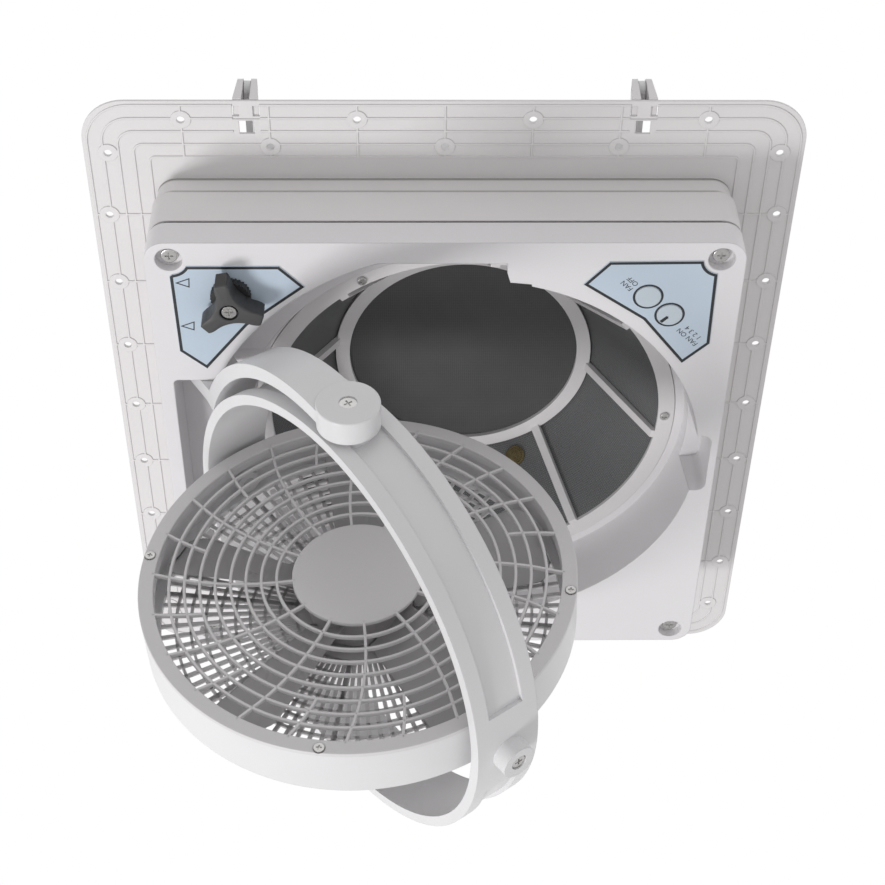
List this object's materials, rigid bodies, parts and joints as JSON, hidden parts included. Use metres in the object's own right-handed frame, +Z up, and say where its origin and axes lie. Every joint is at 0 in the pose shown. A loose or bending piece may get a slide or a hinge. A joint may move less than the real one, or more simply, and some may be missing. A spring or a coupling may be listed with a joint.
{
  "type": "caravan roof vent",
  "caption": "Caravan roof vent: flanged square duct, hinged lid on a knob-driven lift, fly screen, and a guarded fan in a hoop on a swinging arm.",
  "frame": {"origin": "centre of the flange's screw pattern in the roof plane, where the flange's ribs and bosses touch the roof", "axes": "+Z up as installed; -Y towards the lid's hinge; +X to the right seen from below with the hinge side up in the view"},
  "size_m": [0.4288, 0.4747, 0.3735],
  "materials": {
    "white_plastic": "satin moulded plastic",
    "arm_plastic": "satin moulded plastic",
    "guard_plastic": "satin moulded plastic",
    "rotor_plastic": "satin moulded plastic",
    "dark_plastic": "matt",
    "lid_plastic": "glossy weatherproof plastic",
    "label": "printed film",
    "mesh": "fine woven fly mesh",
    "seal_rubber": "matt",
    "screw_steel": "plated",
    "zinc_steel": "zinc plated",
    "brass": "turned",
    "board": "solder resist"
  },
  "bodies": {
    "frame": {"outer_flange": "white_plastic", "lid_seal": "seal_rubber", "inner_trim": "white_plastic", "panel_screws": "screw_steel", "label_left": "label", "label_right": "label", "flyscreen_frame": "white_plastic", "flyscreen_mesh_side": "mesh", "flyscreen_mesh_centre": "mesh", "flyscreen_screws": "screw_steel", "arm_bracket": "white_plastic", "bracket_screws": "screw_steel", "lift_base": "zinc_steel", "guide_rods": "zinc_steel", "control_housing": "dark_plastic", "circuit_board": "board", "switch_body": "dark_plastic", "dial_body": "dark_plastic", "button_spring": "zinc_steel", "wire_terminal": "brass"},
    "lid": {"lid_dome": "lid_plastic", "hinge_pins": "zinc_steel", "cam_fork": "dark_plastic", "fork_screws": "screw_steel"},
    "nut": {"lift_nut": "brass"},
    "knob": {"knob": "dark_plastic", "knob_screw": "screw_steel", "lead_spindle": "zinc_steel"},
    "arm": {"pivot_arm": "arm_plastic", "pad_screw": "screw_steel", "arm_end_cap": "zinc_steel", "arm_end_screw": "screw_steel"},
    "hoop": {"swivel_hoop": "arm_plastic", "swivel_pin": "zinc_steel", "swivel_washer": "dark_plastic", "tilt_pins": "zinc_steel", "lug_screws": "screw_steel"},
    "fan": {"fan_housing": "white_plastic", "front_guard": "guard_plastic", "rear_guard": "guard_plastic", "guard_screws": "screw_steel", "motor_can": "zinc_steel", "motor_cover": "guard_plastic"},
    "rotor": {"fan_rotor": "rotor_plastic", "rotor_shaft": "zinc_steel"},
    "off_button": {"off_button": "label"},
    "speed_dial": {"speed_dial": "label"}
  },
  "joints": [
    {"name": "lid_hinge", "type": "hinge", "parent": "frame", "child": "lid", "pos_m": [0, -0.23135, 0.021], "axis": [1, 0, 0], "range_deg": [0, 45]},
    {"name": "nut_rise", "type": "slide", "parent": "frame", "child": "nut", "axis": [0, 0, 1], "range_m": [0, 0.06558]},
    {"name": "knob_turn", "type": "hinge", "parent": "frame", "child": "knob", "pos_m": [-0.126, -0.14785, -0.066], "axis": [0, 0, 1], "range_deg": [-2362, 0]},
    {"name": "arm_swing", "type": "hinge", "parent": "frame", "child": "arm", "pos_m": [-0.1429, -0.00935, -0.0534], "axis": [0, 1, 0], "range_deg": [-17, 23]},
    {"name": "hoop_swivel", "type": "hinge", "parent": "arm", "child": "hoop", "pos_m": [-0.05401, -0.00935, -0.18399], "axis": [0, 1, 0], "range_deg": [-170, 170]},
    {"name": "fan_tilt", "type": "hinge", "parent": "hoop", "child": "fan", "pos_m": [-0.05098, -0.00935, -0.18206], "axis": [0.5948, 0, -0.8039], "range_deg": [-90, 170]},
    {"name": "rotor_spin", "type": "hinge", "parent": "fan", "child": "rotor", "pos_m": [-0.05098, -0.00935, -0.18206], "axis": [-0.0421, -0.9986, -0.0311], "continuous": true},
    {"name": "off_press", "type": "slide", "parent": "frame", "child": "off_button", "axis": [0, 0, 1], "range_m": [0, 0.001], "stiffness_N_per_m": 400, "springref_m": -0.002},
    {"name": "dial_turn", "type": "hinge", "parent": "frame", "child": "speed_dial", "pos_m": [0.1336, -0.13145, -0.066], "axis": [0, 0, 1], "range_deg": [0, 240]}
  ],
  "couplings": [
    {"joint": "nut_rise", "follows": "lid_hinge", "m_per_rad": 0.0835},
    {"joint": "knob_turn", "follows": "lid_hinge", "ratio": -52.465}
  ]
}
